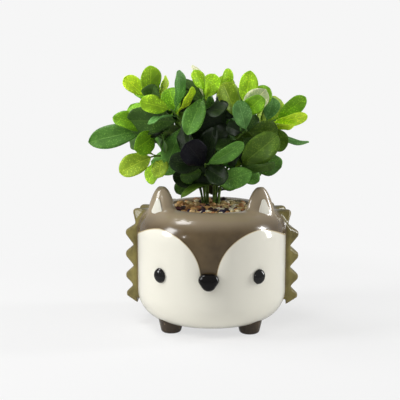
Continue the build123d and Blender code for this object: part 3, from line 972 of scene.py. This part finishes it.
@dataclass
class Foliage:
    """Leaves of the plant: each is a folded, veined blade where its CAD leaf is.

    Attributes:
        rows: faces along a blade.
        columns: faces across it.
        stalk_mm: length of the stalk.
        stalk_wide_mm: width of the stalk.
        thick_mm: thickness of the cloth.
        longer: length of the cloth leaf to its CAD leaf's.
        wider: width of the cloth leaf to its CAD leaf's.
        outer: leaves of a sprig before its inner whorl.
        fuller: growth of the inner leaves and of the sprigs behind.
        showy: growth of the pale leaves.
        crowned: growth of the pale leaf at the top.
        broad_mm: width above which a leaf isn't widened.
        slim: greatest width to the length.
        folds: range of the fold along the rib.
        curls: range of the tip's curl.
        waves: range of the waves along an edge.
        points: range of the tip's point; below 0 it is round.
        fading: range of the brightness of a dye.
        sunk: how far the rib lies under the edges, to the fold.
        wave: height of the waves to the width.
        curl_from: share of the leaf where the tip starts to curl.
        curl_high: height of the curl to the length.
        tones: dye letters of each sprig's outer leaves, in their order; the dark letters are painted shade
            for leaves in the shade, and the light letters partly painted light for leaves in the light.
        inner: dye letters that the inner leaves, in the shade, take by turns: mostly dark dyes, as painted
            shade.
        cloth: their finish.
    """

    rows: int = 18
    columns: int = 8
    stalk_mm: float = 3.0
    stalk_wide_mm: float = 0.9
    thick_mm: float = 0.4
    longer: float = 1.03
    wider: float = 1.2
    outer: int = 5
    fuller: float = 1.3
    showy: float = 1.18
    crowned: float = 1.09
    broad_mm: float = 16.0
    slim: float = 0.66
    folds: Span = (0.14, 0.36)
    curls: Span = (-0.5, 0.7)
    waves: Span = (1.5, 3.0)
    points: Span = (-0.3, 1.0)
    fading: Span = (0.88, 1.12)
    sunk: float = 0.45
    wave: float = 0.05
    curl_from: float = 0.7
    curl_high: float = 0.06
    tones: dict[str, str] = field(default_factory=lambda: {
        "crown_left": "YLDYG", "upper_left": "LSYSG", "left": "MGGGD", "lower_left": "OODOL",
        "crown": "LMLLP", "crown_right": "OLKOM", "upper_right": "LPGGSOSS", "right": "GYYSSEO",
        "middle_right": "SEKDD", "lower_right": "EDMKD", "front": "MBKKK", "front_low": "MEKD",
        "rear_left": "GKMDK", "rear_low_left": "GKMDK", "rear_crown": "OMSMGMSO", "rear_right": "OMSMGMSO"})
    inner: str = "DKMKE"
    cloth: LeafPrint = LeafPrint()

    def pattern(self) -> Object:
        """Adds the flat cut of a leaf: a grid whose rows run from stalk to tip.

        Returns:
            The grid, one long and one wide.
        """
        select()
        bpy.ops.mesh.primitive_grid_add(x_subdivisions=self.rows, y_subdivisions=self.columns, size=1.0)
        return bpy.context.active_object

    def outline(self, share: float, length: float, width: float, point: float) -> Span:
        """Edge of the cut leaf.

        Args:
            share: way from stalk end to tip, 0 to 1.
            length: length of the leaf.
            width: width of the blade.
            point: how pointed the tip is, 0 to 1.

        Returns:
            Distance from the stalk's end, and half width there.
        """
        stalk = self.stalk_mm * MM
        half = self.stalk_wide_mm * MM / 2
        root = 2 / self.rows
        if share <= root:
            return stalk * share / root, half
        t = (share - root) / (1 - root)
        blade = length - stalk
        # A cubic curve from the stalk to the tip, whose two handles give the belly and the point.
        first, second = 3 * (1 - t) ** 2 * t, 3 * (1 - t) * t ** 2
        run = first * 0.15 + second * (1 - 0.16 * point) + t ** 3
        edge = width * (first * (0.42 + 0.14 * point) + second * (0.86 - 0.12 * point))
        return stalk + blade * run, max(edge, half * (1 - t) + 0.05 * MM)

    def growth(self, sprig: str, index: int, tone: LeafTone) -> float:
        """Size of a leaf to that of an outer leaf.

        Args:
            sprig: its sprig.
            index: its place in the sprig.
            tone: its dye.

        Returns:
            The growth.
        """
        if tone is LeafTone.PALE:
            return self.crowned if sprig == "crown" else self.showy
        return self.fuller if index >= self.outer or sprig.startswith("rear") else 1.0

    def shape(self, leaf: Object, place: LeafFrame, growth: float, seed: int) -> None:
        """Cuts, folds, arches and places one leaf.

        Args:
            leaf: copy of the pattern.
            place: where it goes.
            growth: size to that of an outer leaf.
            seed: number that varies its waves.
        """
        dice = random.Random(seed)
        fold = dice.uniform(*self.folds)
        curl = dice.uniform(*self.curls)
        phase = dice.uniform(0, math.tau)
        waves = dice.uniform(*self.waves)
        point = max(0.0, dice.uniform(*self.points))
        length = place.length * self.longer * growth
        width = max(place.width, min(place.width * self.wider, self.broad_mm * MM)) * growth
        width = min(width, length * self.slim)
        for vert in leaf.data.vertices:
            share = vert.co.x + 0.5
            side = vert.co.y * 2
            run, half = self.outline(share, length, width, point)
            bow = 4 * run / length * (1 - run / length)
            drift = side * half
            tip = max(0.0, share - self.curl_from) / (1 - self.curl_from)
            height = place.rise * bow + fold * (abs(drift) * min(1.0, bow * 1.5) - half * self.sunk)
            height += self.wave * width * side * side * math.sin(waves * math.tau * share + phase)
            height -= curl * self.curl_high * length * tip ** 2
            vert.co = (run, drift, height)
        apply_modifier(leaf, "SOLIDIFY", thickness=self.thick_mm * MM, offset=0.0)
        leaf.data.transform(place.matrix())

    def dress(self) -> None:
        """Builds and finishes every sprig's leaves."""
        material = self.cloth.material()
        pattern = self.pattern()
        for number, (sprig, outer) in enumerate(self.tones.items()):
            node = f"{sprig}_leaves"
            leaves = []
            for index, points in enumerate(islands(node)):
                leaf = place_in_scene(pattern.copy())
                leaf.data = pattern.data.copy()
                seed = 100 * number + index
                # The letters paint the light and shade on each leaf: dark dyes where it lies in the shade.
                letters = outer if index < len(outer) else self.inner
                tone = LeafTone.of(letters[index % len(letters)])
                self.shape(leaf, LeafFrame.read(points), self.growth(sprig, index, tone), seed)
                paint(leaf, tone.colour(random.Random(seed).uniform(*self.fading)))
                leaves.append(leaf)
            spray = join(f"{sprig}_foliage", leaves)
            for face in spray.data.polygons:
                face.use_smooth = True
            dress(spray, material, "plant", [node])
        bpy.data.objects.remove(pattern)


class StoneTint(Enum):
    """Colours of the gravel."""

    TAN = ("cb9c5e", "b07a4a", "dab880")
    CREAM = ("e8dcb4", "d2ba80", "efe5c8")
    DARK = ("1c1030", "4a1822", "331c12")


@dataclass
class Gravel:
    """Crushed stones over the bed.

    Attributes:
        chips: small stones that fill the gaps.
        chip_mm: their radius.
        reach_mm: how far they lie from the axis.
        heap_mm: how much higher they lie than the bed.
        lump: size of a stone before it is dented.
        dents: depth and fineness of its dents.
        groups: tints of each CAD node of pebbles.
        stone: their finish.
    """

    chips: int = 190
    chip_mm: float = 2.7
    reach_mm: float = 28.8
    heap_mm: float = 2.6
    lump: float = 0.92
    dents: tuple[Span, ...] = ((0.34, 0.9), (0.2, 2.1))
    groups: dict[str, StoneTint] = field(default_factory=lambda: {
        "tan_pebbles": StoneTint.TAN, "cream_pebbles": StoneTint.CREAM, "dark_pebbles": StoneTint.DARK})
    stone: TintedStone = TintedStone()

    def chunk(self, middle: Vector, size: Vector, seed: int, tint: str) -> Object:
        """Adds one broken stone.

        Args:
            middle: its centre.
            size: its half sizes.
            seed: number that varies its faces.
            tint: its colour.

        Returns:
            The stone.
        """
        dice = random.Random(seed)
        select()
        bpy.ops.mesh.primitive_ico_sphere_add(subdivisions=2, radius=1.0)
        stone = bpy.context.active_object
        shift = Vector((dice.uniform(0, 50), dice.uniform(0, 50), dice.uniform(0, 50)))
        turn = Matrix.Rotation(dice.uniform(0, math.tau), 4, "Z")
        spin = turn @ Matrix.Rotation(dice.uniform(-0.5, 0.5), 4, "X")
        for vert in stone.data.vertices:
            swell = self.lump + sum(deep * noise.noise(vert.co * fine + shift) for deep, fine in self.dents)
            point = spin @ (vert.co * swell)
            vert.co = (middle.x + point.x * size.x, middle.y + point.y * size.y, middle.z + point.z * size.z)
        paint(stone, linear(tint))
        return stone

    def finish(self, name: str, stones: list[Object], material: Material,
               nodes: list[str]) -> None:
        """Joins stones into a piece and finishes it.

        Args:
            name: name of the piece.
            stones: its stones.
            material: their finish.
            nodes: CAD nodes that it replaces.
        """
        heap = join(name, stones)
        select(heap)
        bpy.ops.object.shade_smooth_by_angle(angle=math.radians(24))
        dress(heap, material, "plant", nodes)

    def dress(self) -> None:
        """Builds and finishes all the stones."""
        material = self.stone.material()
        for number, (node, tints) in enumerate(self.groups.items()):
            stones = []
            for index, points in enumerate(islands(node)):
                low, high = points.min(axis=0), points.max(axis=0)
                middle = Vector((low + high) / 2)
                size = Vector((high - low) / 2) * 1.02
                seed = 1000 * number + index
                stones.append(self.chunk(middle, size, seed, tints.value[index % 3]))
            self.finish(f"{node}_stones", stones, material, [node])
        self.fill(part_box("gravel_bed")[1][2], material)

    def fill(self, floor: float, material: Material) -> None:
        """Scatters small chips between the stones.

        Args:
            floor: height of the bed's top.
            material: their finish.
        """
        dice = random.Random(7)
        colours = StoneTint.TAN.value * 2 + StoneTint.CREAM.value * 2 + StoneTint.DARK.value
        stones = []
        for index in range(self.chips):
            reach = self.reach_mm * math.sqrt((index + 0.5) / self.chips)
            turn = GOLDEN_ANGLE * index + 0.4
            radius = self.chip_mm * dice.uniform(0.7, 1.15) * MM
            lift = self.heap_mm * dice.uniform(0.2, 1.25) * MM
            height = floor + radius * 0.5 + lift
            middle = Vector((reach * math.cos(turn) * MM, reach * math.sin(turn) * MM, height))
            size = Vector((radius, radius * dice.uniform(0.75, 1.0), radius * dice.uniform(0.7, 0.95)))
            stones.append(self.chunk(middle, size, 5000 + index, dice.choice(colours)))
        self.finish("gravel_chips", stones, material, [])


@dataclass
class PlantCore:
    """Stems, picks, foam and bed, which keep their CAD shape.

    Attributes:
        stem: finish of the stems and picks.
        foam: finish of the plug.
        bed: finish of the bed under the stones: fine gravel, made dark as painted shade in the gaps between
            the stones.
    """

    stem: Moulded = Moulded("moulded_stem_polyethylene", "3c5a1c", "6d8c33", 2.5, 0.45, 0.25)
    foam: Moulded = Moulded("cut_floral_foam", "3d4a30", "5f6e4a", 0.8, 0.9, 0.8)
    # Painted shade: the bed is dark so that the gaps between the stones read as shade.
    bed: Moulded = Moulded("fine_gravel_and_gap_shade", "2c2018", "6e5640", 1.2, 0.85, 0.9)

    def dress(self) -> None:
        """Finishes the CAD nodes."""
        stem = self.stem.material()
        finishes = {"foam_plug": self.foam.material(), "gravel_bed": self.bed.material()}
        for name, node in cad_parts.items():
            if name.endswith(("_stem", "_pick")):
                finishes[name] = stem
            if name in finishes:
                node.data.materials.clear()
                node.data.materials.append(finishes[name])
                LOG.info("%s: carried over", name)


@dataclass
class Studio:
    """Pale floor, soft light and the camera at the photograph's angle.

    Attributes:
        azimuth: camera's turn to the right of the front, in degrees.
        elevation: camera's height above the horizon, in degrees.
        distance_mm: camera to the object.
        span_mm: width of the view at the object.
        target_mm: point at the middle of the view.
        paper: tint of the paper.
        plain: share of plain paper in the floor, which softens the shadow.
        shadow_m: distances between which the floor turns to plain paper.
        room: light of the room.
        mirrored: brightness of the room in the glaze's reflections.
    """

    azimuth: float = 2.7
    elevation: float = 10.0
    distance_mm: float = 900.0
    span_mm: float = 300.0
    target_mm: Triple = (-8.8, 0.0, 95.1)
    paper: str = "f6f6f6"
    plain: float = 0.72
    shadow_m: Span = (0.09, 0.3)
    room: float = 0.18
    mirrored: float = 0.4

    def camera(self) -> None:
        """Adds the camera."""
        data = bpy.data.cameras.new("camera")
        data.angle = 2 * math.atan(self.span_mm / 2 / self.distance_mm)
        camera = place_in_scene(bpy.data.objects.new("camera", data))
        turn, rise = math.radians(self.azimuth), math.radians(self.elevation)
        back = Vector((math.sin(turn) * math.cos(rise), -math.cos(turn) * math.cos(rise), math.sin(rise)))
        target = Vector(self.target_mm) * MM
        camera.location = target + back * self.distance_mm * MM
        camera.rotation_euler = back.to_track_quat("Z", "Y").to_euler()
        bpy.context.scene.camera = camera

    def lamp(self, name: str, place: Triple, size: Span, watts: float,
             aim: Triple = (0.0, 0.0, 0.09), mirrored: bool = True) -> None:
        """Adds a soft box.

        Args:
            name: its name.
            place: its place, in metres.
            size: its width and height, in metres.
            watts: its power.
            aim: point that it faces.
            mirrored: whether the glaze mirrors it.
        """
        data = bpy.data.lights.new(name, "AREA")
        data.shape = "RECTANGLE"
        data.size, data.size_y = size
        data.energy = watts
        lamp = place_in_scene(bpy.data.objects.new(name, data))
        lamp.location = place
        lamp.visible_glossy = mirrored
        lamp.rotation_euler = (Vector(place) - Vector(aim)).to_track_quat("Z", "Y").to_euler()

    def floor(self) -> None:
        """Adds the pale floor: it keeps the shadow near the object and is plain paper further off."""
        select()
        bpy.ops.mesh.primitive_plane_add(size=30.0)
        floor = bpy.context.active_object
        floor.name = "floor"
        material, desk, shader = new_material("pale_paper")
        desk.feed(shader, {"Base Color": linear("f1f1f1"), "Roughness": 0.9, "Specular IOR Level": 0.0})
        reach = desk.add("ShaderNodeVectorMath", {0: desk.place()}, operation="LENGTH").outputs["Value"]
        far = desk.remap(reach, self.shadow_m, kind="SMOOTHSTEP")
        rays = desk.add("ShaderNodeLightPath").outputs
        seen = desk.compute("MAXIMUM", rays["Is Camera Ray"], rays["Is Glossy Ray"])
        share = desk.compute("MULTIPLY", desk.compute("MAXIMUM", far, self.plain), seen)
        power = desk.compute("MULTIPLY_ADD", rays["Is Camera Ray"], 1 - self.mirrored, self.mirrored)
        glow = desk.add("ShaderNodeEmission", {"Color": linear(self.paper), "Strength": power})
        mix = desk.add("ShaderNodeMixShader", {0: share, 1: shader.outputs[0], 2: glow.outputs[0]})
        out = next(node for node in desk.tree.nodes if node.bl_idname == "ShaderNodeOutputMaterial")
        desk.feed(out, {"Surface": mix.outputs[0]})
        floor.data.materials.append(material)

    def world(self) -> None:
        """Adds the even light of a white room, dimmer in the glaze, and plain paper behind the object."""
        world = bpy.data.worlds.new("white_room")
        world.use_nodes = True
        world.node_tree.nodes.clear()
        desk = NodeDesk(world.node_tree)
        rays = desk.add("ShaderNodeLightPath").outputs
        room, mirrored, sight = (
            desk.add("ShaderNodeBackground", {"Color": linear(colour), "Strength": power}).outputs[0]
            for colour, power in (("ffffff", self.room), ("ffffff", self.mirrored), (self.paper, 1.0)))
        glossy = desk.add("ShaderNodeMixShader", {0: rays["Is Glossy Ray"], 1: room, 2: mirrored})
        mix = desk.add("ShaderNodeMixShader", {0: rays["Is Camera Ray"], 1: glossy.outputs[0], 2: sight})
        desk.add("ShaderNodeOutputWorld", {"Surface": mix.outputs[0]})
        bpy.context.scene.world = world

    def build(self) -> None:
        """Sets the whole stage."""
        bpy.context.scene.view_settings.view_transform = "Standard"
        self.camera()
        self.floor()
        self.world()
        self.lamp("key_left", (-1.08, -0.35, 0.62), (0.35, 0.6), 8.4)
        self.lamp("rim_right", (0.95, 0.15, 0.35), (0.14, 0.6), 6.0)
        self.lamp("top", (-0.45, 0.15, 1.05), (0.5, 0.3), 4.5)
        self.lamp("catch_light", (-0.8, -0.9, 0.5), (0.06, 0.06), 0.45)
        self.lamp("fill", (-0.2, -0.55, 1.0), (0.5, 0.5), 2.3, mirrored=False)


def main() -> None:
    """Builds every part of the planter and its stage."""
    logging.basicConfig(level=logging.INFO, format="%(name)s %(message)s")
    makers: list[Callable[[], None]] = [
        GlazedPot().dress, WhitePanels().dress, SmallClay().dress, Foliage().dress, Gravel().dress,
        PlantCore().dress, Studio().build]
    for make in makers:
        make()


if __name__ == "__main__":
    main()
